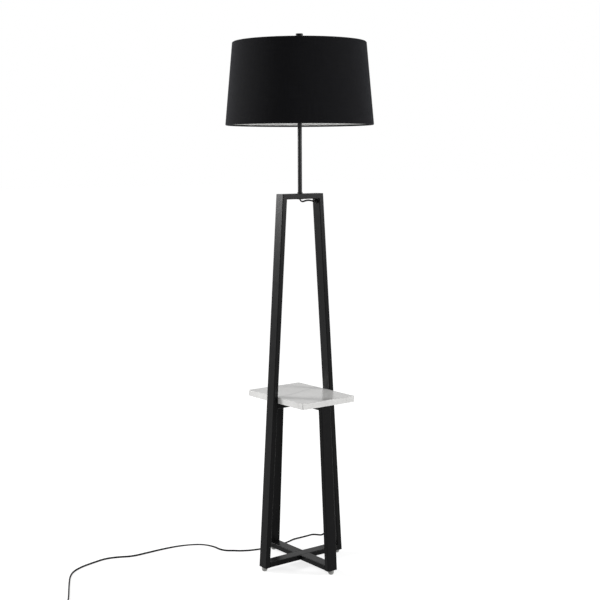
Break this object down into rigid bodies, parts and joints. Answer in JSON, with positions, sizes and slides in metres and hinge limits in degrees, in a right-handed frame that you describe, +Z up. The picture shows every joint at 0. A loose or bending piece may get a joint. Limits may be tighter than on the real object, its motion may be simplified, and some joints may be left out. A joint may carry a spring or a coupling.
{
  "type": "floor lamp",
  "caption": "Floor lamp on an open black tube frame with a white marble shelf, a thin post, a black drum shade and a flat cord.",
  "frame": {"origin": "on the floor, midway between the four feet", "axes": "+Z up; the tall frame stands in the XZ plane with its front left leg at -X, and the short frame in the YZ plane with its front right leg at -Y"},
  "size_m": [0.9781, 0.5972, 1.572],
  "materials": {
    "frame_black": "satin black powder coat",
    "post_black": "semi-gloss black enamel",
    "finial_black": "satin black",
    "marble": "honed white marble with soft grey veins",
    "shade_fabric": "black linen weave",
    "lining": "smooth white lining",
    "wire_white": "white coated wire",
    "black_plastic": "fine satin",
    "cord_black": "satin flat two-core sheath",
    "glide_grey": "matt moulded",
    "zinc_steel": "zinc plated",
    "brass": "turned",
    "nickel": "satin nickel",
    "insulating_card": "plain card",
    "phenolic": "moulded",
    "blade_metal": "plated",
    "opal_glass": "opal",
    "aluminium_cap": "rolled thread"
  },
  "bodies": {
    "lamp": {"base_bar_back_left": "frame_black", "base_bar_front_right": "frame_black", "base_bar_through": "frame_black", "bulb_base": "aluminium_cap", "bulb_globe": "opal_glass", "cord_coil": "cord_black", "cord_free": "cord_black", "crossbar_bushing": "black_plastic", "exit_strain_relief": "black_plastic", "finial": "finial_black", "harp_bow": "nickel", "harp_saddle": "nickel", "harp_stud": "nickel", "lamp_lead": "cord_black", "lamp_lead_exit": "cord_black", "leg_end_plugs": "black_plastic", "leg_inserts": "brass", "lock_nut": "zinc_steel", "lock_washer": "zinc_steel", "plug_blades": "blade_metal", "plug_body": "black_plastic", "post": "post_black", "post_collar": "post_black", "shelf_rail_back_right": "frame_black", "shelf_rail_front_left": "frame_black", "shelf_slab": "marble", "short_leg_back_left": "frame_black", "short_leg_front_right": "frame_black", "short_top_bar": "frame_black", "slab_inserts": "brass", "slab_screws": "zinc_steel", "socket_cap": "nickel", "socket_contact": "brass", "socket_liner": "insulating_card", "socket_moulding": "phenolic", "socket_screw_shell": "brass", "socket_shell": "nickel", "tall_leg_back_right": "frame_black", "tall_leg_front_left": "frame_black", "threaded_nipples": "zinc_steel", "top_crossbar": "frame_black", "top_strain_relief": "black_plastic"},
    "shade": {"shade_fabric": "shade_fabric", "shade_lining": "lining", "shade_ring_top": "wire_white", "shade_ring_bottom": "wire_white", "shade_fitter": "wire_white"},
    "switch": {"switch_knob": "black_plastic", "switch_stem": "nickel"},
    "left_sleeve": {"harp_sleeve_left": "nickel"},
    "right_sleeve": {"harp_sleeve_right": "nickel"},
    "front_left_foot": {"foot_glide_front_left": "glide_grey", "foot_stud_front_left": "zinc_steel"},
    "back_right_foot": {"foot_glide_back_right": "glide_grey", "foot_stud_back_right": "zinc_steel"},
    "front_right_foot": {"foot_glide_front_right": "glide_grey", "foot_stud_front_right": "zinc_steel"},
    "back_left_foot": {"foot_glide_back_left": "glide_grey", "foot_stud_back_left": "zinc_steel"}
  },
  "joints": [
    {"name": "shade_swivel", "type": "hinge", "parent": "lamp", "child": "shade", "pos_m": [0, 0, 1.541], "axis": [0, 0, 1], "continuous": true},
    {"name": "switch_turn", "type": "hinge", "parent": "lamp", "child": "switch", "pos_m": [0, -0.028, 1.3595], "axis": [0, -1, 0], "continuous": true},
    {"name": "left_sleeve_lift", "type": "slide", "parent": "lamp", "child": "left_sleeve", "axis": [0, 0, 1], "range_m": [0, 0.012]},
    {"name": "right_sleeve_lift", "type": "slide", "parent": "lamp", "child": "right_sleeve", "axis": [0, 0, 1], "range_m": [0, 0.012]},
    {"name": "front_left_foot_screw", "type": "slide", "parent": "lamp", "child": "front_left_foot", "axis": [0, 0, -1], "range_m": [0, 0.01]},
    {"name": "back_right_foot_screw", "type": "slide", "parent": "lamp", "child": "back_right_foot", "axis": [0, 0, -1], "range_m": [0, 0.01]},
    {"name": "front_right_foot_screw", "type": "slide", "parent": "lamp", "child": "front_right_foot", "axis": [0, 0, -1], "range_m": [0, 0.01]},
    {"name": "back_left_foot_screw", "type": "slide", "parent": "lamp", "child": "back_left_foot", "axis": [0, 0, -1], "range_m": [0, 0.01]}
  ]
}
